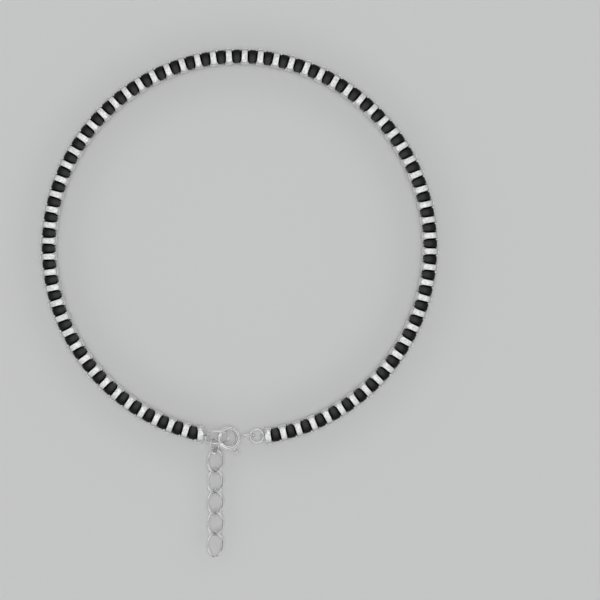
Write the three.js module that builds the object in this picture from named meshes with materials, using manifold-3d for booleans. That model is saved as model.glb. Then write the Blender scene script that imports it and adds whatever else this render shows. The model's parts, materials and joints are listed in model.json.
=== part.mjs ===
// A silver payal anklet: a line of bar-set cut stones, an oval end ring, a spring-ring clasp and a short
// extender chain of twisted links. It lies flat on its back with the clasp fastened. Millimetres, +Z up,
// origin on the ground below the middle of the whole outline.
import * as THREE from 'three';
import { mergeVertices } from 'three/addons/utils/BufferGeometryUtils.js';
import Module from 'manifold-3d';

// Loop of the stone line, and where its two ends stop short of the clasp
const LOOP_RADIUS = 40.45;
const RIGHT_END_ANGLE = 278.58;
const LEFT_END_ANGLE = 258.28 + 360;
const STONE_COUNT = 72;
const RIGHT_HALF_STONES = 36;
const PITCH_ANGLE = (LEFT_END_ANGLE - RIGHT_END_ANGLE) / STONE_COUNT;
const LEFT_END_TURN = 6.5;

// Bar between two stones, arched over its width and turned down at both ends
const BAR_WIDTH = 1.12;
const BAR_LENGTH = 3.75;
const BAR_HEIGHT = 2.45;
const BAR_CROWN_WIDTH = 0.52;
const BAR_SHOULDER_HEIGHT = 2.08;
const BAR_END_HEIGHT = 1.7;
const BAR_END_ROUNDING = 0.42;

// Channel that carries a stone and joins two bars
const CHANNEL_WIDTH = 3.4;
const RAIL_THICKNESS = 0.35;
const RAIL_TOP = 1.2;
const FLOOR_TOP = 0.8;
const FLOOR_BOTTOM = 0.3;

// Cut stone: a long octagon with a table and eight crown facets, set a little outward of the bars' middle
const STONE_OUTWARD = 0.12;
const STONE_LENGTH = 3.0;
const STONE_WIDTH = 2.0;
const STONE_CORNER_CUT = 0.42;
const STONE_GIRDLE = 1.72;
const STONE_TOP = 2.2;
const TABLE_SHARE = 0.6;

// Lugs on the two end bars: upright plates with an eye for a ring
const LUG_THICKNESS = 0.4;
const LUG_RIM = 0.32;
const LEFT_LUG = { side: 1, reach: 0.5, outward: 0.4, height: 1.6, eyeWidth: 0.78, eyeHeight: 1.05 };
const RIGHT_LUG = { side: -1, reach: 0.36, outward: 0, height: 0.87, eyeWidth: 0.7, eyeHeight: 0.7 };

// Oval end ring on the left lug, tipped up so that the clasp passes through it
const END_RING = { wire: 0.54, halfLength: 2.45, halfWidth: 1.643, centre: [-4.764, -40.195, 1.77] };
const END_RING_TILT = 29.5;
const END_RING_PITCH = -4.07;

// Spring-ring clasp, laid at a slight tilt on the rings that cross it
const CLASP_CENTRE = [-2.316, -40.454, 1.6];
const CLASP_TILT_X = -5.64;
const CLASP_TILT_Y = 8.58;
const CLASP_RADIUS = 2.03;
const TUBE_DIAMETER = 1.08;
const BORE_DIAMETER = 0.76;
const TUBE_START = 212;
const TUBE_END = 168 + 360;
const BORE_END = 356;
const POCKET_START = TUBE_END - 10;
const SLOT_START = 291.5;
const SLOT_END = 353;
const SLOT_HEIGHT = 0.66;

// Lever of the clasp: gate wire inside the tube, stem through its slot, ball to pull
const GATE_WIRE = 0.5;
const GATE_START = 164;
const GATE_END = 304;
const LEVER_ANGLE = 299;
const STEM_WIRE = 0.44;
const BALL_RADIUS = 0.55;
const BALL_REACH = 3.43;

// Eye soldered on the clasp, and the small round ring from it to the right lug
const EYE = { wire: 0.47, halfLength: 1.48, halfWidth: 0.62, centre: [4.065, 0.57, 0] };
const EYE_LEAN = 16;
const CLASP_RING = { wire: 0.47, halfLength: 1.405, halfWidth: 1.405, centre: [3.71, -40.04, 0.845] };

// Ring that joins the extender to the end ring, and the twisted links of the extender
const EXTENDER_RING = { wire: 0.5, halfLength: 1.1, halfWidth: 1.65, centre: [-5.299, -42.08, 0.94] };
const EXTENDER_RING_ROLL = 35.41;
const EXTENDER_RING_PITCH = 8.9;
const EXTENDER_RING_YAW = 4.68;
const LINK_COUNT = 5;
const LINK_SPACING = 4.43;
const LINK = { wire: 0.58, halfLength: 1.585, halfWidth: 2.6, twist: 28, centre: [-5.12, -45.33, 0.67] };

// Fineness of the rounded forms
const WIRE_SIDES = 6;
const RING_STEPS = 16;
const TUBE_SIDES = 8;
const DEGREES_PER_STEP = 11;

// The loop's centre stands behind the middle of the outline, because the extender hangs out in front
const OUTLINE_BACK = LOOP_RADIUS + BAR_LENGTH / 2;
const LAST_LINK_Y = LINK.centre[1] - (LINK_COUNT - 1) * LINK_SPACING;
const OUTLINE_FRONT = LAST_LINK_Y - LINK.halfWidth - LINK.wire / 2;
const LOOP_CENTRE_Y = -(OUTLINE_BACK + OUTLINE_FRONT) / 2;

const wasm = await Module();
wasm.setup();

const silver = { color: 0xc9c9cc, metalness: 1.0, roughness: 0.24 };
const radians = THREE.MathUtils.degToRad;

// Closed geometry to a solid that can be joined and cut
function toSolid(geometry) {
  const bare = geometry.clone();
  bare.deleteAttribute('normal');
  bare.deleteAttribute('uv');
  const merged = mergeVertices(bare, 1e-4);
  const mesh = new wasm.Mesh({
    numProp: 3,
    vertProperties: new Float32Array(merged.attributes.position.array),
    triVerts: new Uint32Array(merged.index.array),
  });
  return new wasm.Manifold(mesh);
}

// Solid back to a geometry
function toGeometry(solid) {
  const mesh = solid.getMesh();
  const geometry = new THREE.BufferGeometry();
  geometry.setAttribute('position', new THREE.BufferAttribute(mesh.vertProperties, 3));
  geometry.setIndex(new THREE.BufferAttribute(mesh.triVerts, 1));
  geometry.computeVertexNormals();
  return geometry;
}

function joinAll(geometries) {
  return toGeometry(geometries.map(toSolid).reduce((whole, piece) => whole.add(piece)));
}

// Prism with its outline in X and Z, running along Y from `from` to `to`
function prismAlongY(outline, from, to) {
  const shape = new THREE.Shape(outline.map(([x, z]) => new THREE.Vector2(x, z)));
  const prism = new THREE.ExtrudeGeometry(shape, { depth: to - from, bevelEnabled: false });
  return prism.rotateX(Math.PI / 2).translate(0, to, 0);
}

// Geometry made at the loop's +X point, outward along X, carried to an angle on the loop
function placeOnLoop(geometry, angle, turn = 0) {
  const placed = geometry.clone().rotateZ(radians(angle + turn));
  return placed.translate(LOOP_RADIUS * Math.cos(radians(angle)), LOOP_RADIUS * Math.sin(radians(angle)), 0);
}

// Closed line of a ring: an ellipse, whose two ends may be twisted against each other
class RingLine extends THREE.Curve {
  constructor({ halfLength, halfWidth, twist = 0 }) {
    super();
    this.halfLength = halfLength;
    this.halfWidth = halfWidth;
    this.twist = radians(twist);
  }

  getPoint(t, target = new THREE.Vector3()) {
    const turn = 2 * Math.PI * t;
    const across = this.halfLength * Math.sin(turn);
    const lean = this.twist * Math.cos(turn);
    return target.set(across * Math.cos(lean), this.halfWidth * Math.cos(turn), across * Math.sin(lean));
  }
}

// Arc of the clasp's ring between two angles
class ClaspArc extends THREE.Curve {
  constructor(start, end) {
    super();
    this.start = radians(start);
    this.end = radians(end);
  }

  getPoint(t, target = new THREE.Vector3()) {
    const angle = this.start + (this.end - this.start) * t;
    return target.set(CLASP_RADIUS * Math.cos(angle), CLASP_RADIUS * Math.sin(angle), 0);
  }
}

function wireRing(ring) {
  return new THREE.TubeGeometry(new RingLine(ring), RING_STEPS, ring.wire / 2, WIRE_SIDES, true);
}

function wireArc(start, end, diameter, sides) {
  const section = new THREE.Shape();
  for (let side = 0; side < sides; side += 1) {
    const angle = (2 * Math.PI * (side + 0.5)) / sides;
    const corner = [(diameter / 2) * Math.cos(angle), (diameter / 2) * Math.sin(angle)];
    if (side === 0) section.moveTo(...corner);
    else section.lineTo(...corner);
  }
  const steps = Math.ceil((end - start) / DEGREES_PER_STEP);
  return new THREE.ExtrudeGeometry(section, { steps, extrudePath: new ClaspArc(start, end) });
}

// Bar: a round-topped section crossed with a side view whose ends turn down
function makeBar() {
  const halfWidth = BAR_WIDTH / 2;
  const halfCrown = BAR_CROWN_WIDTH / 2;
  const halfLength = BAR_LENGTH / 2;
  const halfTop = halfLength - BAR_END_ROUNDING;
  const sectionFoot = -1;
  const spare = 1;
  const section = [
    [-halfWidth, sectionFoot],
    [halfWidth, sectionFoot],
    [halfWidth, BAR_SHOULDER_HEIGHT],
    [halfCrown, BAR_HEIGHT],
    [-halfCrown, BAR_HEIGHT],
    [-halfWidth, BAR_SHOULDER_HEIGHT],
  ];
  const sideView = [
    [-halfLength, 0],
    [halfLength, 0],
    [halfLength, BAR_END_HEIGHT],
    [halfTop, BAR_HEIGHT + 0.01],
    [-halfTop, BAR_HEIGHT + 0.01],
    [-halfLength, BAR_END_HEIGHT],
  ];
  const rounded = prismAlongY(section, -halfLength - spare, halfLength + spare).rotateZ(Math.PI / 2);
  const ended = prismAlongY(sideView, -halfWidth - spare, halfWidth + spare);
  return toGeometry(toSolid(rounded).intersect(toSolid(ended)));
}

function channelOutline() {
  const outer = CHANNEL_WIDTH / 2;
  const inner = outer - RAIL_THICKNESS;
  return [
    [-outer, FLOOR_BOTTOM],
    [outer, FLOOR_BOTTOM],
    [outer, RAIL_TOP],
    [inner, RAIL_TOP],
    [inner, FLOOR_TOP],
    [-inner, FLOOR_TOP],
    [-inner, RAIL_TOP],
    [-outer, RAIL_TOP],
  ];
}

// Long octagon of a cut stone, at one height
function stoneOutline(share, z) {
  const x = (STONE_LENGTH / 2) * share;
  const y = (STONE_WIDTH / 2) * share;
  const cut = STONE_CORNER_CUT * share;
  const corners = [[x, y - cut], [x - cut, y], [cut - x, y], [-x, y - cut]];
  const opposite = corners.map(([cornerX, cornerY]) => [-cornerX, -cornerY]);
  return [...corners, ...opposite].map(([cornerX, cornerY]) => new THREE.Vector3(cornerX, cornerY, z));
}

// Stone: stacked octagons, closed by a fan below and the table above
function makeStone() {
  const foot = (FLOOR_TOP + FLOOR_BOTTOM) / 2;
  const tiers = [stoneOutline(1, foot), stoneOutline(1, STONE_GIRDLE), stoneOutline(TABLE_SHARE, STONE_TOP)];
  const sides = tiers[0].length;
  const index = [];
  for (let tier = 0; tier < tiers.length - 1; tier += 1) {
    for (let side = 0; side < sides; side += 1) {
      const here = tier * sides + side;
      const next = tier * sides + ((side + 1) % sides);
      index.push(here, next, next + sides, here, next + sides, here + sides);
    }
  }
  const top = (tiers.length - 1) * sides;
  for (let side = 1; side < sides - 1; side += 1) {
    index.push(0, side + 1, side);
    index.push(top, top + side, top + side + 1);
  }
  const stone = new THREE.BufferGeometry().setFromPoints(tiers.flat());
  stone.setIndex(index);
  return stone;
}

// Lug: plate with a round nose and an eye, its foot sunk in the bar
function makeLug({ side, reach, outward, height, eyeWidth, eyeHeight }) {
  const noseX = eyeWidth / 2 + LUG_RIM;
  const noseZ = eyeHeight / 2 + LUG_RIM;
  const foot = -(reach + BAR_WIDTH / 4);
  const plate = new THREE.Shape();
  plate.moveTo(foot, -noseZ);
  plate.lineTo(0, -noseZ);
  plate.absellipse(0, 0, noseX, noseZ, -Math.PI / 2, Math.PI / 2, false);
  plate.lineTo(foot, noseZ);
  plate.closePath();
  const eye = new THREE.Path();
  eye.absellipse(0, 0, eyeWidth / 2, eyeHeight / 2, 0, 2 * Math.PI, true);
  plate.holes.push(eye);
  const curveSegments = 5;
  const lug = new THREE.ExtrudeGeometry(plate, { depth: LUG_THICKNESS, bevelEnabled: false, curveSegments });
  lug.translate(0, 0, -LUG_THICKNESS / 2).rotateX(Math.PI / 2).rotateZ(side * Math.PI / 2);
  return lug.translate(outward, side * (BAR_WIDTH / 2 + reach), height);
}

// Half of the stone line: bars and stones from one stone number to another, and a lug on the end bar
function makeChain(firstStone, lastStone, firstBar, lastBar, lug, lugBar) {
  const bar = makeBar();
  const channelLength = 2 * LOOP_RADIUS * Math.sin(radians(PITCH_ANGLE / 2));
  const stone = makeStone().translate(STONE_OUTWARD, 0, 0);
  const pieces = [];
  const turnOf = (place) => (place > STONE_COUNT - 1 ? LEFT_END_TURN * (place - STONE_COUNT + 1) : 0);
  for (let number = firstStone; number <= lastStone; number += 1) {
    const meetsOtherHalf = firstBar > firstStone && number === firstStone;
    const from = meetsOtherHalf ? -STONE_WIDTH / 2 : -channelLength / 2;
    const channel = prismAlongY(channelOutline(), from, channelLength / 2);
    const place = number + 0.5;
    const angle = RIGHT_END_ANGLE + place * PITCH_ANGLE;
    pieces.push(placeOnLoop(channel, angle), placeOnLoop(stone, angle, turnOf(place)));
  }
  for (let number = firstBar; number <= lastBar; number += 1) {
    pieces.push(placeOnLoop(bar, RIGHT_END_ANGLE + number * PITCH_ANGLE, turnOf(number)));
  }
  pieces.push(placeOnLoop(makeLug(lug), RIGHT_END_ANGLE + lugBar * PITCH_ANGLE, turnOf(lugBar)));
  return joinAll(pieces);
}

// Clasp tube: a bent hollow tube with a slot for the lever, a pocket for the gate's tip and a soldered eye
function makeClaspTube() {
  const tube = toSolid(wireArc(TUBE_START, TUBE_END, TUBE_DIAMETER, TUBE_SIDES));
  const spare = 2;
  const bore = toSolid(wireArc(TUBE_START - spare, BORE_END, BORE_DIAMETER, TUBE_SIDES));
  const pocket = toSolid(wireArc(POCKET_START, TUBE_END + spare, BORE_DIAMETER, TUBE_SIDES));
  const slot = toSolid(makeSlot());
  const eye = wireRing(EYE).rotateX(radians(90 - EYE_LEAN)).translate(...EYE.centre);
  return toGeometry(tube.add(toSolid(eye)).subtract(bore).subtract(pocket).subtract(slot));
}

// Slot's cutter: a flat ring sector from the tube's middle line outwards
function makeSlot() {
  const outerRadius = CLASP_RADIUS + TUBE_DIAMETER;
  const sector = new THREE.Shape();
  sector.absarc(0, 0, CLASP_RADIUS, radians(SLOT_START), radians(SLOT_END), false);
  sector.absarc(0, 0, outerRadius, radians(SLOT_END), radians(SLOT_START), true);
  sector.closePath();
  const options = { depth: SLOT_HEIGHT, bevelEnabled: false, curveSegments: 6 };
  return new THREE.ExtrudeGeometry(sector, options).translate(0, 0, -SLOT_HEIGHT / 2);
}

// Lever: gate wire, stem and ball in one piece
function makeTrigger() {
  const gate = wireArc(GATE_START, GATE_END, GATE_WIRE, WIRE_SIDES);
  const stemLength = BALL_REACH - CLASP_RADIUS;
  const stem = new THREE.CylinderGeometry(STEM_WIRE / 2, STEM_WIRE / 2, stemLength, WIRE_SIDES);
  stem.rotateZ(-Math.PI / 2).translate(CLASP_RADIUS + stemLength / 2, 0, 0).rotateZ(radians(LEVER_ANGLE));
  const ball = new THREE.SphereGeometry(BALL_RADIUS, 10, 7);
  ball.rotateX(Math.PI / 2).translate(BALL_REACH, 0, 0).rotateZ(radians(LEVER_ANGLE));
  return joinAll([gate, stem, ball]);
}

function makeMesh(name, geometry) {
  const mesh = new THREE.Mesh(geometry, new THREE.MeshStandardMaterial(silver));
  mesh.name = name;
  return mesh;
}

const anklet = new THREE.Group();
const loop = new THREE.Group();
loop.position.set(0, LOOP_CENTRE_Y, 0);
anklet.add(loop);

const lastStone = STONE_COUNT - 1;
loop.add(makeMesh('chain_right', makeChain(0, RIGHT_HALF_STONES - 1, 0, RIGHT_HALF_STONES, RIGHT_LUG, 0)));
loop.add(makeMesh('chain_left', makeChain(
  RIGHT_HALF_STONES,
  lastStone,
  RIGHT_HALF_STONES + 1,
  STONE_COUNT,
  LEFT_LUG,
  STONE_COUNT,
)));

const endRing = makeMesh('end_ring', wireRing(END_RING));
endRing.rotation.set(radians(END_RING_TILT), radians(END_RING_PITCH), 0, 'YXZ');
endRing.position.set(...END_RING.centre);
loop.add(endRing);

const clasp = new THREE.Group();
clasp.rotation.set(radians(CLASP_TILT_X), radians(CLASP_TILT_Y), 0, 'ZXY');
clasp.position.set(...CLASP_CENTRE);
clasp.add(makeMesh('clasp_tube', makeClaspTube()));
clasp.add(makeMesh('clasp_trigger', makeTrigger()));
loop.add(clasp);

const claspRing = makeMesh('clasp_ring', wireRing(CLASP_RING));
claspRing.position.set(...CLASP_RING.centre);
loop.add(claspRing);

const extenderRing = makeMesh('extender_ring', wireRing(EXTENDER_RING));
extenderRing.rotation.set(
  radians(EXTENDER_RING_PITCH),
  radians(EXTENDER_RING_ROLL),
  radians(EXTENDER_RING_YAW),
  'ZXY',
);
extenderRing.position.set(...EXTENDER_RING.centre);
loop.add(extenderRing);

for (let number = 1; number <= LINK_COUNT; number += 1) {
  const link = makeMesh(`extender_link_${number}`, wireRing(LINK));
  link.position.set(LINK.centre[0], LINK.centre[1] - (number - 1) * LINK_SPACING, LINK.centre[2]);
  loop.add(link);
}

export default anklet;
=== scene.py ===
import json
import math

import bpy
from mathutils import Matrix, Vector


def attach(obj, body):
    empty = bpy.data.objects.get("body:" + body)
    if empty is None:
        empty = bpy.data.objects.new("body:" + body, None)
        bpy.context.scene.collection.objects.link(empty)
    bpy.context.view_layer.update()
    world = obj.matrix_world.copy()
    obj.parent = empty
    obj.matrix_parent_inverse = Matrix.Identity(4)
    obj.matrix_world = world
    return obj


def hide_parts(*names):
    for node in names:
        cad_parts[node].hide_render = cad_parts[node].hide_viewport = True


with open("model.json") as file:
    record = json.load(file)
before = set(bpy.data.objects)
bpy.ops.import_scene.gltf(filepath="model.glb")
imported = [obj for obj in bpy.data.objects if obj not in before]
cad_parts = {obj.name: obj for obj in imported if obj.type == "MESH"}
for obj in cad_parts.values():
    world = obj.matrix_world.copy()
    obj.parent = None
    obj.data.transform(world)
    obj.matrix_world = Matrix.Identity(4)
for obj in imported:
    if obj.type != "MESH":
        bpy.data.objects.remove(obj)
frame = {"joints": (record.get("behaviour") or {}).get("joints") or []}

bl_info = {
    "name": "Payal anklet",
    "version": (1, 0, 0),
    "blender": (4, 5, 0),
    "location": "View3D > Sidebar > Anklet",
    "description": "Bar-set stone line, spring-ring clasp and extender chain of a silver anklet",
    "category": "Add Mesh",
}

MM = 0.001

# Places that the frame's solids share, about the loop's centre
LOOP_CENTRE = Vector((0.0, 11.8075, 0.0)) * MM
RIGHT_END_ANGLE = 278.58
LEFT_END_ANGLE = 258.28 + 360
STONE_COUNT = 72
RIGHT_HALF_STONES = 36
PITCH_ANGLE = (LEFT_END_ANGLE - RIGHT_END_ANGLE) / STONE_COUNT
LEFT_END_TURN = 6.5

# The clasp's lever turns about the clasp's own axis, so the joint gives the clasp's place
CLASP_CENTRE = Vector(frame["joints"][0]["pos_m"])
CLASP_TILT_X = -5.64
CLASP_TILT_Y = 8.58
CLASP_RADIUS = 2.03 * MM

SHARP_EDGE = math.radians(35)

# What lies closer than this counts as one place
NEAR = 0.01 * MM

# A face counts as facing a way when this much of its normal points there
FACING = 0.9


def length(name, description, millimetres):
    """A size that a user may change, given here in millimetres and kept in metres."""
    return bpy.props.FloatProperty(
        name=name,
        description=description,
        default=millimetres * MM,
        min=0.0,
        precision=5,
        unit="LENGTH",
    )


def colour(name, description, red, green, blue):
    """A colour that a user may change."""
    return bpy.props.FloatVectorProperty(
        name=name,
        description=description,
        default=(red, green, blue, 1.0),
        size=4,
        min=0.0,
        max=1.0,
        subtype="COLOR",
    )


class StoneLineSizes(bpy.types.PropertyGroup):
    loop_radius: length("Loop radius", "From the loop's centre to the middle of a bar", 40.45)
    bar_length: length("Bar length", "Across the line, over both turned-down ends", 3.75)
    bar_width: length("Bar width", "Along the line", 1.2)
    bar_height: length("Bar height", "From the ground to the bar's crown", 2.5)
    rail_length: length("Rail length", "Long side rails that carry a stone", 1.2)
    spur_length: length("Spur length", "Short side rails on the other side of a bar", 0.5)
    stone_length: length("Stone length", "Across the line", 2.78)
    stone_width: length("Stone width", "Along the line", 1.84)
    stone_girdle: length("Girdle height", "From the ground to the top of the girdle", 1.6)
    stone_top: length("Stone top", "From the ground to its highest point", 2.2)


class ClaspSizes(bpy.types.PropertyGroup):
    tube: length("Tube", "Diameter of the spring ring's tube", 1.08)
    tube_wall: length("Tube wall", "Thickness of the tube's sheet", 0.16)
    gate: length("Gate wire", "Diameter of the sliding wire", 0.5)
    stem: length("Lever stem", "Diameter of the lever's stem", 0.42)
    ball: length("Lever ball", "Diameter of the ball that is pulled", 1.1)
    eye: length("Eye wire", "Diameter of the soldered eye's wire", 0.47)


class ExtenderSizes(bpy.types.PropertyGroup):
    wire: length("Link wire", "Diameter of a link's wire", 0.58)
    half_width: length("Half width", "Half of a link's width, at its wire's middle", 1.585)
    half_length: length("Half length", "Half of a link's length, at its wire's middle", 2.6)
    spacing: length("Spacing", "From one link to the next", 4.43)
    twist: bpy.props.FloatProperty(
        name="Twist",
        description="Turn of each link's ends against its middle",
        default=math.radians(28),
        subtype="ANGLE",
    )


class FinishColours(bpy.types.PropertyGroup):
    silver: colour("Silver", "Polished silver", 0.87, 0.867, 0.86)
    silver_worn: colour("Dull silver", "Cast and handled patches of the silver", 0.58, 0.58, 0.58)
    # The channel colour is partly real tarnish and partly painted shade, darkening the recess under the
    # stones where shade falls
    tarnish_and_shade: colour("Tarnish", "Blackened silver in the channel below the stones", 0.03, 0.03, 0.032)
    stone: colour("Stone", "Opaque black stone", 0.004, 0.004, 0.0045)
    stone_cloud: colour("Stone cloud", "Faint grey clouds in the black stone", 0.01, 0.01, 0.011)
    floor: colour("Floor", "Plain pale floor", 0.93, 0.925, 0.91)


class StageSizes(bpy.types.PropertyGroup):
    camera_height: length("Camera height", "Above the ground, over the loop's centre", 320.0)
    view_width: length("View width", "Width of the ground that the picture shows", 127.6)
    light_height: length("Light height", "Of the round light over the loop's centre", 500.0)
    light_width: length("Light width", "Diameter of the round light", 160.0)
    light_power: bpy.props.FloatProperty(
        name="Light power",
        description="Power of the round light, in watts",
        default=0.018,
        min=0.0,
        precision=4,
    )
    floor_width: length("Floor width", "Side of the square floor", 2400.0)


def deselect_all():
    if bpy.context.object and bpy.context.object.mode != "OBJECT":
        bpy.ops.object.mode_set(mode="OBJECT")
    bpy.ops.object.select_all(action="DESELECT")


def choose_faces(piece, wanted):
    """Selects, in edit mode, the faces whose middle and normal are wanted."""
    bpy.ops.object.mode_set(mode="EDIT")
    bpy.ops.mesh.select_mode(type="FACE")
    bpy.ops.mesh.select_all(action="DESELECT")
    bpy.ops.object.mode_set(mode="OBJECT")
    for face in piece.data.polygons:
        face.select = wanted(face.center, face.normal)
    bpy.ops.object.mode_set(mode="EDIT")


def choose_points(piece, wanted):
    """Selects, in edit mode, the points whose place is wanted."""
    bpy.ops.object.mode_set(mode="EDIT")
    bpy.ops.mesh.select_mode(type="VERT")
    bpy.ops.mesh.select_all(action="DESELECT")
    bpy.ops.object.mode_set(mode="OBJECT")
    for point in piece.data.vertices:
        point.select = wanted(point.co)
    bpy.ops.object.mode_set(mode="EDIT")


def choose_edges(piece, wanted):
    """Selects, in edit mode, the edges whose two ends are wanted."""
    bpy.ops.object.mode_set(mode="EDIT")
    bpy.ops.mesh.select_mode(type="EDGE")
    bpy.ops.mesh.select_all(action="DESELECT")
    bpy.ops.object.mode_set(mode="OBJECT")
    points = piece.data.vertices
    for edge in piece.data.edges:
        edge.select = wanted(points[edge.vertices[0]].co, points[edge.vertices[1]].co)
    bpy.ops.object.mode_set(mode="EDIT")


def move_points(piece, wanted, x=0.0, y=0.0, z=0.0):
    choose_points(piece, wanted)
    bpy.ops.transform.translate(value=(x, y, z))


def cut_across(normal, distances):
    """Cuts the whole piece at several distances along a direction."""
    for distance in distances:
        bpy.ops.mesh.select_all(action="SELECT")
        bpy.ops.mesh.bisect(plane_co=Vector(normal) * distance, plane_no=normal)


def extrude_by(x=0.0, y=0.0, z=0.0):
    bpy.ops.mesh.extrude_region_move(TRANSFORM_OT_translate={"value": (x, y, z)})


def apply_modifiers(piece):
    bpy.ops.object.mode_set(mode="OBJECT")
    bpy.context.view_layer.objects.active = piece
    piece.select_set(True)
    for modifier in list(piece.modifiers):
        bpy.ops.object.modifier_apply(modifier=modifier.name)


def add_box(low, high):
    """A box between two corners, its place in its mesh."""
    deselect_all()
    low, high = Vector(low), Vector(high)
    bpy.ops.mesh.primitive_cube_add(size=1, location=(low + high) / 2, scale=high - low)
    bpy.ops.object.transform_apply(location=True, rotation=True, scale=True)
    return bpy.context.object


def copy_to(piece, matrix):
    """A copy with a mesh of its own, carried to its place in the mesh."""
    copy = piece.copy()
    copy.data = piece.data.copy()
    copy.data.transform(matrix)
    bpy.context.collection.objects.link(copy)
    return copy


def join_pieces(pieces, name):
    deselect_all()
    for piece in pieces:
        piece.select_set(True)
    bpy.context.view_layer.objects.active = pieces[0]
    bpy.ops.object.join()
    joined = bpy.context.object
    joined.name = name
    joined.data.name = name
    return joined


def discard(piece):
    bpy.data.objects.remove(piece, do_unlink=True)


def finish_piece(piece, body, material, replaced=()):
    """Gives a finished piece its material, its body and the solids it stands for."""
    piece.data.materials.clear()
    piece.data.materials.append(material)
    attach(piece, body)
    if replaced:
        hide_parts(*replaced)


def place_on_line(line, number, turn=0.0):
    """Carries what is made at the origin, outward along X, to a place on the stone line."""
    angle = math.radians(RIGHT_END_ANGLE + number * PITCH_ANGLE)
    middle = LOOP_CENTRE + Vector((math.cos(angle), math.sin(angle), 0.0)) * line.loop_radius
    return Matrix.Translation(middle) @ Matrix.Rotation(angle + math.radians(turn), 4, "Z")


def end_turn(number):
    """The last bar on the left has swung out, and its stone follows it half way."""
    return LEFT_END_TURN * max(0.0, number - STONE_COUNT + 1)


def place_on_clasp():
    tilt = Matrix.Rotation(math.radians(CLASP_TILT_X), 4, "X")
    tilt = tilt @ Matrix.Rotation(math.radians(CLASP_TILT_Y), 4, "Y")
    return Matrix.Translation(CLASP_CENTRE) @ tilt


# Materials


def new_material(name):
    material = bpy.data.materials.new(name)
    material.use_nodes = True
    return material, material.node_tree.nodes, material.node_tree.links


def millimetre_coordinates(nodes, links):
    """Object coordinates, in millimetres."""
    place = nodes.new("ShaderNodeTexCoord")
    scale = nodes.new("ShaderNodeMapping")
    scale.inputs["Scale"].default_value = (1 / MM, 1 / MM, 1 / MM)
    links.new(place.outputs["Object"], scale.inputs["Vector"])
    return scale.outputs["Vector"]


def add_noise(nodes, links, coordinates, patches_per_mm, detail):
    noise = nodes.new("ShaderNodeTexNoise")
    noise.inputs["Scale"].default_value = patches_per_mm
    noise.inputs["Detail"].default_value = detail
    links.new(coordinates, noise.inputs["Vector"])
    return noise.outputs["Fac"]


def add_range(nodes, links, value, low, high):
    """Spreads the middle part of a noise over a range of values."""
    spread = nodes.new("ShaderNodeMapRange")
    spread.inputs["From Min"].default_value = 0.3
    spread.inputs["From Max"].default_value = 0.7
    spread.inputs["To Min"].default_value = low
    spread.inputs["To Max"].default_value = high
    links.new(value, spread.inputs["Value"])
    return spread.outputs["Result"]


def add_fade(nodes, links, value, start, end):
    """Fades from 0 at the start to 1 at the end."""
    fade = nodes.new("ShaderNodeMapRange")
    fade.interpolation_type = "SMOOTHSTEP"
    fade.inputs["From Min"].default_value = start
    fade.inputs["From Max"].default_value = end
    links.new(value, fade.inputs["Value"])
    return fade.outputs["Result"]


def add_step(nodes, links, operation, first, second=0.0):
    """One step of arithmetic on a value and a second one, which may be a plain number."""
    step = nodes.new("ShaderNodeMath")
    step.operation = operation
    links.new(first, step.inputs[0])
    if isinstance(second, (int, float)):
        step.inputs[1].default_value = second
    else:
        links.new(second, step.inputs[1])
    return step.outputs["Value"]


def add_blend(nodes, links, factor, first, second):
    """Blends from a first colour, which may be an earlier blend, to a second colour."""
    blend = nodes.new("ShaderNodeMix")
    blend.data_type = "RGBA"
    if isinstance(first, bpy.types.NodeSocket):
        links.new(first, blend.inputs["A"])
    else:
        blend.inputs["A"].default_value = first
    blend.inputs["B"].default_value = second
    links.new(factor, blend.inputs["Factor"])
    return blend.outputs["Result"]


def distance_from_line(nodes, links, right, back, line):
    """How far a point lies inside or outside of the bars' middles, in millimetres."""
    squares = [add_step(nodes, links, "MULTIPLY", side, side) for side in (right, back)]
    radius = add_step(nodes, links, "SQRT", add_step(nodes, links, "ADD", *squares))
    off_middle = add_step(nodes, links, "SUBTRACT", radius, line.loop_radius / MM)
    return add_step(nodes, links, "ABSOLUTE", off_middle)


def clear_of_lugs(nodes, links, right, back, line):
    """0 between the two end bars, where the lugs and the clasp are, and 1 elsewhere."""
    ends = (LEFT_END_ANGLE, RIGHT_END_ANGLE)
    left_end, right_end = (line.loop_radius / MM * math.cos(math.radians(angle)) for angle in ends)
    half_gap, border = (right_end - left_end) / 2, 0.1
    off_gap = add_step(nodes, links, "SUBTRACT", right, (left_end + right_end) / 2)
    off_gap = add_step(nodes, links, "ABSOLUTE", off_gap)
    beside = add_fade(nodes, links, off_gap, half_gap, half_gap + border)
    half_border = 0.5
    behind = add_fade(nodes, links, back, -half_border, half_border)
    return add_step(nodes, links, "MAXIMUM", beside, behind)


def recess_of_channel(nodes, links, coordinates, line):
    """1 in the channel below the stones, where tarnish and painted shade darken the recess, and 0 on what a
    hand or cloth can rub bright.
    """
    parts = nodes.new("ShaderNodeSeparateXYZ")
    links.new(coordinates, parts.inputs["Vector"])
    right = add_step(nodes, links, "SUBTRACT", parts.outputs["X"], LOOP_CENTRE.x / MM)
    back = add_step(nodes, links, "SUBTRACT", parts.outputs["Y"], LOOP_CENTRE.y / MM)
    wall_inner, wall_outer = 1.0, 1.3
    stone_back, stone_side = 1.5, 1.9
    floor_low, floor_high = 0.5, 0.6
    off_line = distance_from_line(nodes, links, right, back, line)
    recess = add_fade(nodes, links, off_line, wall_outer, wall_inner)
    borders = (
        add_fade(nodes, links, parts.outputs["Z"], stone_side, stone_back),
        add_fade(nodes, links, parts.outputs["Z"], floor_low, floor_high),
        clear_of_lugs(nodes, links, right, back, line),
    )
    for border in borders:
        recess = add_step(nodes, links, "MULTIPLY", recess, border)
    return recess


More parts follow.
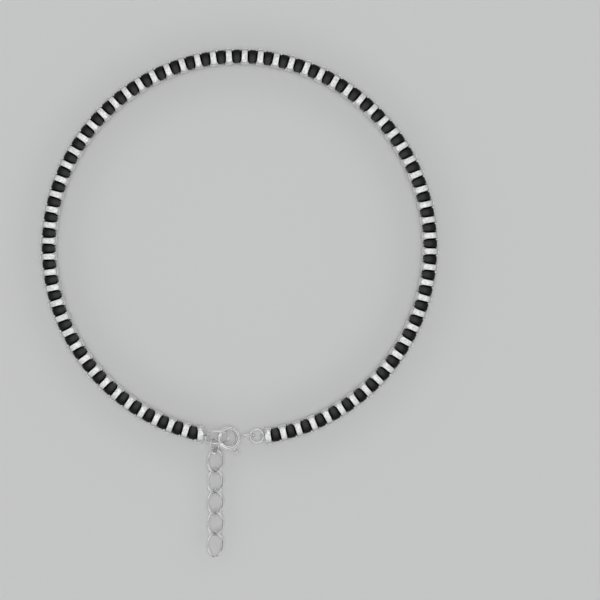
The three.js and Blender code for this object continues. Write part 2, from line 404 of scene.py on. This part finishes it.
def silver_finish(name, colours, least_bright, polish, dull, pits, channel_of=None):
    """Silver, mottled in colour and polish, with small pits, and darkened in the channel of a stone line by
    tarnish and painted shade.
    """
    material, nodes, links = new_material(name)
    shader = nodes["Principled BSDF"]
    coordinates = millimetre_coordinates(nodes, links)
    mottle = add_noise(nodes, links, coordinates, patches_per_mm=2.6, detail=4.0)
    brightness = add_range(nodes, links, mottle, least_bright, 1.0)
    silver = add_blend(nodes, links, brightness, colours.silver_worn, colours.silver)
    if channel_of:
        # Painted shade with tarnish: the recess below the stones is blended towards near-black
        recess = recess_of_channel(nodes, links, coordinates, channel_of)
        silver = add_blend(nodes, links, recess, silver, colours.tarnish_and_shade)
    links.new(silver, shader.inputs["Base Color"])
    shader.inputs["Metallic"].default_value = 1.0
    links.new(add_range(nodes, links, mottle, dull, polish), shader.inputs["Roughness"])
    grain = add_noise(nodes, links, coordinates, patches_per_mm=4.0, detail=6.0)
    bump = nodes.new("ShaderNodeBump")
    bump.inputs["Strength"].default_value = pits
    bump.inputs["Distance"].default_value = 0.02 * MM
    links.new(grain, bump.inputs["Height"])
    links.new(bump.outputs["Normal"], shader.inputs["Normal"])
    return material


def stone_finish(colours):
    """Opaque black stone with faint grey clouds and a high, slightly uneven polish."""
    material, nodes, links = new_material("polished_black_stone")
    shader = nodes["Principled BSDF"]
    coordinates = millimetre_coordinates(nodes, links)
    noise = add_noise(nodes, links, coordinates, patches_per_mm=0.9, detail=2.0)
    clouds = add_range(nodes, links, noise, 0.0, 1.0)
    stone = add_blend(nodes, links, clouds, colours.stone, colours.stone_cloud)
    links.new(stone, shader.inputs["Base Color"])
    shader.inputs["IOR"].default_value = 1.54
    shader.inputs["Specular IOR Level"].default_value = 0.36
    patches = add_noise(nodes, links, coordinates, patches_per_mm=3.0, detail=3.0)
    high_polish, low_polish = 0.03, 0.12
    links.new(add_range(nodes, links, patches, high_polish, low_polish), shader.inputs["Roughness"])
    return material


def floor_finish(colours):
    """Plain matt floor."""
    material, nodes, _ = new_material("pale_floor")
    shader = nodes["Principled BSDF"]
    shader.inputs["Base Color"].default_value = colours.floor
    shader.inputs["Roughness"].default_value = 0.7
    return material


def cast_silver(line, colours):
    """The bars' and rails' silver."""
    return silver_finish(
        "cast_silver",
        colours,
        least_bright=0.15,
        polish=0.24,
        dull=0.44,
        pits=0.6,
        channel_of=line,
    )


def drawn_silver(colours):
    """The silver of the wires and of the clasp, made once and then shared."""
    made = bpy.data.materials.get("drawn_silver")
    return made or silver_finish("drawn_silver", colours, least_bright=0.45, polish=0.15, dull=0.3, pits=0.3)


# Stone line


def make_silver_link(line, with_rails, with_spurs):
    """One bar, its legs, and the channel walls that grow out of it, as one smooth casting."""
    half_length, half_width = line.bar_length / 2, line.bar_width / 2
    rail_outer, root_inner = 1.72 * MM, 1.1 * MM
    floor_bottom, floor_top, rail_top = 0.3 * MM, 0.75 * MM, 1.4 * MM
    bar = add_box((-half_length, -half_width, 0.0), (half_length, half_width, line.bar_height))
    bpy.ops.object.mode_set(mode="EDIT")
    rows = (-rail_outer, -root_inner, 0.0, root_inner, rail_outer)
    cut_across((1, 0, 0), rows)
    cut_across((0, 0, 1), (floor_bottom, floor_top, rail_top))
    arch_crown, arch_radius = -0.12 * MM, 6.5 * MM
    above = rail_top + NEAR
    for row in rows:
        fall = (row - arch_crown) ** 2 / (2 * arch_radius)
        move_points(bar, lambda p: p.z > above and abs(p.x - row) < NEAR, z=-fall)
    shorter, drop, end_width = 0.03 * MM, 0.6 * MM, 0.8
    for end in (-1, 1):
        move_points(bar, lambda p: p.z > above and p.x * end > rail_outer + NEAR, x=-end * shorter, z=-drop)
    choose_points(bar, lambda p: abs(p.x) > rail_outer + NEAR)
    bpy.ops.transform.resize(value=(1.0, end_width, 1.0))
    rail_fall, spur_fall = 0.1 * MM, 0.3 * MM
    sides = []
    if with_rails:
        sides.append((-1, line.rail_length, rail_fall))
    if with_spurs:
        sides.append((1, line.spur_length, spur_fall))
    # For each end of the bar, how far the root's inner and outer sides draw in
    root_ends = ((-1, 0.26 * MM, 0.0), (1, 0.1 * MM, 0.16 * MM))
    root, root_fall = 0.36 * MM, 0.36 * MM
    for side, reach, fall in sides:

        def is_root(centre, normal):
            root_top = rail_top if centre.x > 0 else line.bar_height
            on_side = normal.y * side > FACING and abs(centre.y * side - half_width) < NEAR
            in_floor = floor_bottom < centre.z < floor_top and abs(centre.x) < rail_outer
            in_root = floor_bottom < centre.z < root_top and root_inner < abs(centre.x) < rail_outer
            return on_side and (in_floor or in_root)

        def is_wall(centre, normal):
            on_side = normal.y * side > FACING and abs(centre.y * side - half_width - root) < NEAR
            in_rail = centre.z < rail_top and root_inner < abs(centre.x) < rail_outer
            return on_side and (in_rail or centre.z < floor_top)

        choose_faces(bar, is_root)
        extrude_by(y=side * root)
        on_root = half_width + root - NEAR
        for end, inner, outer in root_ends:
            is_inner = lambda p: p.y * side > on_root and abs(p.x * end - root_inner) < NEAR
            is_outer = lambda p: p.y * side > on_root and abs(p.x * end - rail_outer) < NEAR
            move_points(bar, is_inner, x=end * inner)
            move_points(bar, is_outer, x=-end * outer)
        move_points(bar, lambda p: p.y * side > on_root and p.z > above, z=-root_fall)
        choose_faces(bar, is_wall)
        extrude_by(y=side * (reach - root))
        tip = half_width + reach - NEAR
        move_points(bar, lambda p: p.y * side > tip and p.z > rail_top - NEAR, z=-fall)

    def is_bar_edge(a, b):
        along = abs(a.y - b.y) < NEAR and abs(a.x - b.x) > NEAR and abs(abs(a.y) - half_width) < NEAR
        within = min(a.x, b.x) > -root_inner - NEAR and max(a.x, b.x) < rail_outer + NEAR
        return along and within and a.z > above and b.z > above

    def is_wall_edge(a, b):
        beyond = abs(a.y) > half_width + NEAR or abs(b.y) > half_width + NEAR
        return beyond and min(a.z, b.z) > floor_top + NEAR and abs(a.y - b.y) > NEAR

    for is_edge, sharpness in ((is_bar_edge, 0.75), (is_wall_edge, 0.5)):
        choose_edges(bar, is_edge)
        bpy.ops.transform.edge_crease(value=sharpness)
    bpy.ops.object.mode_set(mode="OBJECT")
    smooth = bar.modifiers.new("Smooth", "SUBSURF")
    smooth.levels = smooth.render_levels = 2
    apply_modifiers(bar)
    return bar


def make_joint_pin(line):
    """The pin under each stone where two links turn on each other."""
    deselect_all()
    past_rail, height = 0.04 * MM, 0.53 * MM
    behind = line.bar_width / 2 + line.rail_length + past_rail
    bpy.ops.mesh.primitive_cylinder_add(
        vertices=12,
        radius=0.17 * MM,
        depth=2.7 * MM,
        location=(0.0, -behind, height),
        rotation=(0.0, math.pi / 2, 0.0),
    )
    bpy.ops.object.transform_apply(location=True, rotation=True, scale=True)
    return bpy.context.object


def make_lug(along, outward, height, eye_width, eye_height):
    """Upright eyelet soldered to an end bar, wider than it is thick."""
    rim, wider = 0.32 * MM, 1.25
    eyelet = make_ring_wire((eye_width + rim) / 2, (eye_height + rim) / 2, rim)
    widen = Matrix.Diagonal((1.0, 1.0, wider, 1.0))
    upright = Matrix.Rotation(math.pi / 2, 4, "X")
    across = Matrix.Rotation(math.pi / 2, 4, "Z")
    place = Matrix.Translation((outward, along, height))
    eyelet.data.transform(place @ across @ upright @ widen)
    return eyelet


def make_ring_wire(half_x, half_y, wire):
    """A closed oval of round wire round the origin, flat in X and Y."""
    deselect_all()
    bpy.ops.curve.primitive_bezier_circle_add(radius=1.0)
    ring = bpy.context.object
    ring.scale = (half_x, half_y, 1.0)
    bpy.ops.object.transform_apply(location=True, rotation=True, scale=True)
    for point in ring.data.splines[0].bezier_points:
        point.radius = 1.0
    ring.data.resolution_u = 20
    ring.data.bevel_depth = wire / 2
    ring.data.bevel_resolution = 5
    bpy.ops.object.convert(target="MESH")
    bpy.ops.object.shade_smooth()
    return bpy.context.object


def dome_points(piece, above, fall_along_x, fall_along_y):
    """Lowers what lies above a height by a fall along each of two directions."""
    same_row = 0.002
    for axis, fall in (("x", fall_along_x), ("y", fall_along_y)):
        bpy.ops.object.mode_set(mode="OBJECT")
        rows = {round(getattr(p.co, axis) / MM, 3) for p in piece.data.vertices if p.co.z > above}
        for row in rows:
            in_row = lambda p: p.z > above and abs(getattr(p, axis) / MM - row) < same_row
            move_points(piece, in_row, z=-fall(row * MM))


def make_stone(line):
    """Cut-corner stone: girdle, steep step, a low dome of small facets, and its back."""
    half_x, half_y = line.stone_length / 2, line.stone_width / 2
    girdle, corner, step_height = 0.16 * MM, 0.34 * MM, line.stone_top - line.stone_girdle
    low = line.stone_girdle - girdle
    stone = add_box((-half_x, -half_y, low), (half_x, half_y, line.stone_girdle))
    choose_edges(stone, lambda a, b: abs(a.z - b.z) > NEAR)
    bpy.ops.mesh.bevel(offset=corner, segments=1, affect="EDGES")
    crown_length, crown_width = 0.88, 0.79
    choose_faces(stone, lambda centre, normal: normal.z > FACING)
    extrude_by(z=step_height)
    bpy.ops.transform.resize(value=(crown_length, crown_width, 1.0))
    # For each step of the back: its depth, and its length and width as shares of the step before
    back_steps = ((0.45 * MM, 0.75, 0.6), (0.15 * MM, 0.6, 0.3))
    choose_faces(stone, lambda centre, normal: normal.z < -FACING)
    for depth, length_share, width_share in back_steps:
        extrude_by(z=-depth)
        bpy.ops.transform.resize(value=(length_share, width_share, 1.0))
    # Where the rows of facets divide the flat top, in millimetres along each of two directions
    facet_rows = (((1, 0, 0), (-0.8, -0.4, 0.0, 0.4, 0.8)), ((0, 1, 0), (-0.24, 0.24)))
    level, gently_domed = 0.99, 0.8
    for normal, rows in facet_rows:
        for row in rows:
            choose_faces(stone, lambda centre, facing: facing.z > level)
            bpy.ops.mesh.bisect(plane_co=Vector(normal) * row * MM, plane_no=normal)
    summit, dome_x, dome_y = -0.35 * MM, 3.6 * MM, 2.5 * MM
    dome_points(
        stone,
        line.stone_girdle + NEAR,
        lambda x: (x - summit) ** 2 / (2 * dome_x),
        lambda y: y**2 / (2 * dome_y),
    )
    facet_height = 0.025 * MM
    choose_faces(stone, lambda centre, normal: normal.z > gently_domed and centre.z > line.stone_girdle)
    bpy.ops.mesh.poke(offset=facet_height)
    bpy.ops.object.mode_set(mode="OBJECT")
    return stone


class ANKLET_OT_add_silver_line(bpy.types.Operator):
    """Adds the silver bars, rails and joint pins of both halves of the line, with the lugs on their ends"""

    bl_idname = "anklet.add_silver_line"
    bl_label = "Silver line"

    def execute(self, context):
        line = context.scene.stone_line
        material = cast_silver(line, context.scene.finish_colours)
        middle_link = make_silver_link(line, with_rails=True, with_spurs=True)
        right_end = make_silver_link(line, with_rails=False, with_spurs=True)
        left_end = make_silver_link(line, with_rails=True, with_spurs=False)
        pin = make_joint_pin(line)
        half_width = line.bar_width / 2
        right_lug = make_lug(
            along=-half_width - 0.36 * MM,
            outward=0.0,
            height=0.87 * MM,
            eye_width=0.7 * MM,
            eye_height=0.7 * MM,
        )
        left_lug = make_lug(
            along=half_width + 0.5 * MM,
            outward=0.4 * MM,
            height=1.6 * MM,
            eye_width=0.78 * MM,
            eye_height=1.05 * MM,
        )
        halves = (
            ("silver_line_right", "chain_right", range(0, RIGHT_HALF_STONES + 1)),
            ("silver_line_left", "chain_left", range(RIGHT_HALF_STONES + 1, STONE_COUNT + 1)),
        )
        for name, node, numbers in halves:
            links = []
            for number in numbers:
                place = place_on_line(line, number, end_turn(number))
                made = {0: right_end, STONE_COUNT: left_end}.get(number, middle_link)
                links.append(copy_to(made, place))
                if number > 0:
                    links.append(copy_to(pin, place))
                if number == 0:
                    links.append(copy_to(right_lug, place))
                if number == STONE_COUNT:
                    links.append(copy_to(left_lug, place))
            half = join_pieces(links, name)
            bpy.ops.object.shade_smooth_by_angle(angle=SHARP_EDGE)
            finish_piece(half, "anklet", material, (node,))
        for pattern in (middle_link, right_end, left_end, pin, right_lug, left_lug):
            discard(pattern)
        return {"FINISHED"}


class ANKLET_OT_add_stones(bpy.types.Operator):
    """Adds the black stones between the bars"""

    bl_idname = "anklet.add_stones"
    bl_label = "Stones"

    def execute(self, context):
        line = context.scene.stone_line
        material = stone_finish(context.scene.finish_colours)
        pattern = make_stone(line)
        halves = (
            ("stones_right", range(0, RIGHT_HALF_STONES)),
            ("stones_left", range(RIGHT_HALF_STONES, STONE_COUNT)),
        )
        for name, numbers in halves:
            stones = []
            for number in numbers:
                place = number + 0.5
                stones.append(copy_to(pattern, place_on_line(line, place, end_turn(place))))
            half = join_pieces(stones, name)
            finish_piece(half, "anklet", material)
        discard(pattern)
        return {"FINISHED"}


# Rings and extender


def tip_and_place(ring, centre, turns=()):
    """Turns a flat ring about one axis after another, and sets it, in millimetres from the loop's centre."""
    matrix = Matrix.Identity(4)
    for axis, angle in turns:
        matrix = Matrix.Rotation(math.radians(angle), 4, axis) @ matrix
    place = Matrix.Translation(LOOP_CENTRE + Vector(centre) * MM)
    ring.data.transform(place @ matrix)


class ANKLET_OT_add_rings(bpy.types.Operator):
    """Adds the oval end ring, the small round ring and the ring that carries the extender"""

    bl_idname = "anklet.add_rings"
    bl_label = "Rings"

    def execute(self, context):
        material = drawn_silver(context.scene.finish_colours)
        end_ring = make_ring_wire(half_x=2.45 * MM, half_y=1.643 * MM, wire=0.54 * MM)
        tip_and_place(end_ring, centre=(-4.764, -40.195, 1.77), turns=(("X", 29.5), ("Y", -4.07)))
        clasp_ring = make_ring_wire(half_x=1.405 * MM, half_y=1.405 * MM, wire=0.47 * MM)
        tip_and_place(clasp_ring, centre=(3.71, -40.04, 0.845))
        extender_ring = make_ring_wire(half_x=1.1 * MM, half_y=1.65 * MM, wire=0.5 * MM)
        turns = (("Y", 35.41), ("X", 8.9), ("Z", 4.68))
        tip_and_place(extender_ring, centre=(-5.299, -42.08, 0.94), turns=turns)
        rings = (
            (end_ring, "oval_end_ring", "end_ring"),
            (clasp_ring, "round_clasp_ring", "clasp_ring"),
            (extender_ring, "extender_joining_ring", "extender_ring"),
        )
        for ring, name, node in rings:
            ring.name = ring.data.name = name
            finish_piece(ring, "anklet", material, (node,))
        return {"FINISHED"}


class ANKLET_OT_add_extender(bpy.types.Operator):
    """Adds the five twisted links of the extender chain"""

    bl_idname = "anklet.add_extender"
    bl_label = "Extender chain"

    def execute(self, context):
        sizes = context.scene.extender
        material = drawn_silver(context.scene.finish_colours)
        link_count, right, back, height = 5, -5.12, -45.33, 0.67
        for number in range(1, link_count + 1):
            link = make_ring_wire(sizes.half_width, sizes.half_length, sizes.wire)
            twist = link.modifiers.new("Twist", "SIMPLE_DEFORM")
            twist.deform_method = "TWIST"
            twist.deform_axis = "Y"
            reach = (sizes.half_length + sizes.wire / 2) / sizes.half_length
            twist.angle = -2 * sizes.twist * reach
            apply_modifiers(link)
            down = (number - 1) * sizes.spacing / MM
            tip_and_place(link, centre=(right, back - down, height))
            link.name = link.data.name = f"twisted_link_{number}"
            finish_piece(link, "anklet", material, (f"extender_link_{number}",))
        return {"FINISHED"}


# Clasp


def make_wire_section(diameter, sides, angle):
    """A round section, facing along the clasp's ring, at an angle of it."""
    deselect_all()
    bpy.ops.mesh.primitive_circle_add(
        vertices=sides,
        radius=diameter / 2,
        fill_type="NOTHING",
        location=(CLASP_RADIUS, 0.0, 0.0),
        rotation=(math.pi / 2, 0.0, 0.0),
    )
    section = bpy.context.object
    bpy.ops.object.transform_apply(location=True, rotation=True, scale=True)
    section.data.transform(Matrix.Rotation(math.radians(angle), 4, "Z"))
    return section


def spin_section(angle, steps):
    """Spins the section about the clasp's axis. The operator turns the other way, hence the minus."""
    bpy.ops.object.mode_set(mode="EDIT")
    bpy.ops.mesh.select_all(action="SELECT")
    bpy.ops.mesh.spin(steps=steps, angle=-math.radians(angle), center=(0, 0, 0), axis=(0, 0, 1))


def close_and_turn_out():
    """Merges the points that meet and turns all faces outward."""
    bpy.ops.mesh.select_all(action="SELECT")
    bpy.ops.mesh.remove_doubles(threshold=0.001 * MM)
    bpy.ops.mesh.normals_make_consistent(inside=False)
    bpy.ops.object.mode_set(mode="OBJECT")


class ANKLET_OT_add_clasp(bpy.types.Operator):
    """Adds the clasp's bent tube with its slot, and the eye soldered on it"""

    bl_idname = "anklet.add_clasp"
    bl_label = "Clasp"

    def execute(self, context):
        sizes = context.scene.clasp
        start, end, step = 212, 168 + 360, 4
        tube = make_wire_section(sizes.tube, sides=48, angle=start)
        self.press_seam(tube, sizes.tube / 2, math.radians(start))
        spin_section(end - start, (end - start) // step)
        close_and_turn_out()
        slot_start, slot_end, slot_half_height = 292, 352, 0.33 * MM

        def in_slot(centre, normal):
            angle = math.degrees(math.atan2(centre.y, centre.x)) % 360
            outside = math.hypot(centre.x, centre.y) > CLASP_RADIUS
            return outside and slot_start < angle < slot_end and abs(centre.z) < slot_half_height

        choose_faces(tube, in_slot)
        bpy.ops.mesh.delete(type="FACE")
        bpy.ops.object.mode_set(mode="OBJECT")
        wall = tube.modifiers.new("Wall", "SOLIDIFY")
        wall.thickness = sizes.tube_wall
        wall.offset = -1.0
        edge = tube.modifiers.new("Edges", "BEVEL")
        edge.width = 0.03 * MM
        edge.segments = 2
        edge.limit_method = "ANGLE"
        edge.angle_limit = math.radians(50)
        apply_modifiers(tube)
        eye = make_ring_wire(half_x=1.48 * MM, half_y=0.62 * MM, wire=sizes.eye)
        eye_centre, eye_lean = Vector((4.065, 0.57, 0.0)) * MM, math.radians(16)
        lean = Matrix.Rotation(math.pi / 2 - eye_lean, 4, "X")
        eye.data.transform(Matrix.Translation(eye_centre) @ lean)
        clasp = join_pieces([tube, eye], "spring_ring")
        bpy.ops.object.shade_smooth_by_angle(angle=SHARP_EDGE)
        clasp.data.transform(place_on_clasp())
        finish_piece(clasp, "anklet", drawn_silver(context.scene.finish_colours), ("clasp_tube",))
        return {"FINISHED"}

    def press_seam(self, section, tube_radius, start):
        """Presses the sheet's closed seam into the section, a little inside of the ring's top."""
        seam, depth = math.radians(105), 0.06 * MM
        out = Vector((math.cos(start), math.sin(start), 0.0))
        from_middle = out * math.cos(seam) + Vector((0.0, 0.0, math.sin(seam)))
        place = out * CLASP_RADIUS + from_middle * tube_radius
        inward = -from_middle * depth
        move_points(section, lambda p: (p - place).length < NEAR, *inward)
        bpy.ops.object.mode_set(mode="OBJECT")


class ANKLET_OT_add_lever(bpy.types.Operator):
    """Adds the clasp's lever: the gate wire, its stem and the ball that is pulled"""

    bl_idname = "anklet.add_lever"
    bl_label = "Lever"

    def execute(self, context):
        sizes = context.scene.clasp
        start, end, step, lever_angle = 164, 304, 4, math.radians(299)
        reach = 3.43 * MM
        gate = make_wire_section(sizes.gate, sides=16, angle=start)
        spin_section(end - start, (end - start) // step)
        close_and_turn_out()
        bpy.ops.object.mode_set(mode="EDIT")
        bpy.ops.mesh.select_mode(type="EDGE")
        bpy.ops.mesh.select_all(action="DESELECT")
        bpy.ops.mesh.select_non_manifold()
        bpy.ops.mesh.edge_face_add()
        bpy.ops.object.mode_set(mode="OBJECT")
        outward = Vector((math.cos(lever_angle), math.sin(lever_angle), 0.0))
        deselect_all()
        bpy.ops.mesh.primitive_cylinder_add(
            vertices=16,
            radius=sizes.stem / 2,
            depth=reach - CLASP_RADIUS,
            location=outward * (reach + CLASP_RADIUS) / 2,
            rotation=(0.0, math.pi / 2, lever_angle),
        )
        bpy.ops.object.transform_apply(location=True, rotation=True, scale=True)
        stem = bpy.context.object
        deselect_all()
        bpy.ops.mesh.primitive_uv_sphere_add(
            segments=32,
            ring_count=20,
            radius=sizes.ball / 2,
            location=outward * reach,
        )
        bpy.ops.object.transform_apply(location=True, rotation=True, scale=True)
        ball = bpy.context.object
        lever = join_pieces([gate, stem, ball], "clasp_lever_and_ball")
        bpy.ops.object.shade_smooth_by_angle(angle=SHARP_EDGE)
        lever.data.transform(place_on_clasp())
        finish_piece(lever, "lever", drawn_silver(context.scene.finish_colours), ("clasp_trigger",))
        return {"FINISHED"}


# Stage


class ANKLET_OT_add_stage(bpy.types.Operator):
    """Adds the pale floor, the round soft light over the loop and the camera that looks straight down"""

    bl_idname = "anklet.add_stage"
    bl_label = "Stage"

    # Brightness of the light tent against the height of the direction, from the horizon at 0 to the top at 1
    tent_brightness = (
        (0.0, 0.8),
        (0.25, 0.66),
        (0.45, 0.3),
        (0.7, 0.22),
        (0.82, 0.38),
        (0.91, 0.82),
        (0.96, 1.25),
        (1.0, 1.5),
    )

    def execute(self, context):
        stage = context.scene.stage
        deselect_all()
        below = 0.02 * MM
        bpy.ops.mesh.primitive_plane_add(size=stage.floor_width, location=(0.0, 0.0, -below))
        bpy.ops.object.transform_apply(location=True, rotation=True, scale=True)
        floor = bpy.context.object
        floor.name = "floor"
        floor.data.materials.append(floor_finish(context.scene.finish_colours))
        self.add_lights(context, stage)
        self.add_camera(context, stage)
        return {"FINISHED"}

    def add_lights(self, context, stage):
        above = LOOP_CENTRE + Vector((0.0, 0.0, stage.light_height))
        bpy.ops.object.light_add(type="AREA", location=above)
        light = bpy.context.object
        light.name = "round_light"
        light.data.shape = "DISK"
        light.data.size = stage.light_width
        light.data.energy = stage.light_power
        world = bpy.data.worlds.new("studio")
        world.use_nodes = True
        nodes, links = world.node_tree.nodes, world.node_tree.links
        direction = nodes.new("ShaderNodeTexCoord")
        parts = nodes.new("ShaderNodeSeparateXYZ")
        tent = nodes.new("ShaderNodeValToRGB")
        tent.color_ramp.interpolation = "EASE"
        tint = (0.97, 0.98, 1.0)
        for height, brightness in self.tent_brightness:
            if height in (0.0, 1.0):
                stop = tent.color_ramp.elements[int(height)]
            else:
                stop = tent.color_ramp.elements.new(height)
            stop.color = (*(part * brightness for part in tint), 1.0)
        links.new(direction.outputs["Generated"], parts.inputs["Vector"])
        links.new(parts.outputs["Z"], tent.inputs["Fac"])
        links.new(tent.outputs["Color"], nodes["Background"].inputs["Color"])
        context.scene.world = world

    def add_camera(self, context, stage):
        picture_pixels = 600
        loop_pixel = (239.45, 247.25)
        bpy.ops.object.camera_add(location=LOOP_CENTRE + Vector((0.0, 0.0, stage.camera_height)))
        camera = bpy.context.object
        lens = camera.data
        lens.sensor_width = 36.0
        lens.lens = lens.sensor_width * stage.camera_height / stage.view_width
        lens.shift_x = 0.5 - loop_pixel[0] / picture_pixels
        lens.shift_y = loop_pixel[1] / picture_pixels - 0.5
        lens.clip_start = 0.01
        context.scene.camera = camera
        context.scene.view_settings.view_transform = "Standard"


class ANKLET_PT_panel(bpy.types.Panel):
    bl_label = "Payal anklet"
    bl_idname = "ANKLET_PT_panel"
    bl_space_type = "VIEW_3D"
    bl_region_type = "UI"
    bl_category = "Anklet"

    def draw(self, context):
        for operator in OPERATORS:
            self.layout.operator(operator.bl_idname)


SIZE_GROUPS = {
    "stone_line": StoneLineSizes,
    "clasp": ClaspSizes,
    "extender": ExtenderSizes,
    "finish_colours": FinishColours,
    "stage": StageSizes,
}
OPERATORS = (
    ANKLET_OT_add_stage,
    ANKLET_OT_add_silver_line,
    ANKLET_OT_add_stones,
    ANKLET_OT_add_rings,
    ANKLET_OT_add_extender,
    ANKLET_OT_add_clasp,
    ANKLET_OT_add_lever,
)


def register():
    for name, group in SIZE_GROUPS.items():
        bpy.utils.register_class(group)
        setattr(bpy.types.Scene, name, bpy.props.PointerProperty(type=group))
    for operator in OPERATORS:
        bpy.utils.register_class(operator)
    bpy.utils.register_class(ANKLET_PT_panel)


def unregister():
    bpy.utils.unregister_class(ANKLET_PT_panel)
    for operator in reversed(OPERATORS):
        bpy.utils.unregister_class(operator)
    for name, group in SIZE_GROUPS.items():
        delattr(bpy.types.Scene, name)
        bpy.utils.unregister_class(group)


def main():
    bpy.context.view_layer.update()
    register()
    bpy.ops.anklet.add_stage()
    bpy.ops.anklet.add_silver_line()
    bpy.ops.anklet.add_stones()
    bpy.ops.anklet.add_rings()
    bpy.ops.anklet.add_extender()
    bpy.ops.anklet.add_clasp()
    bpy.ops.anklet.add_lever()
    bpy.context.view_layer.update()


if __name__ == "__main__":
    main()
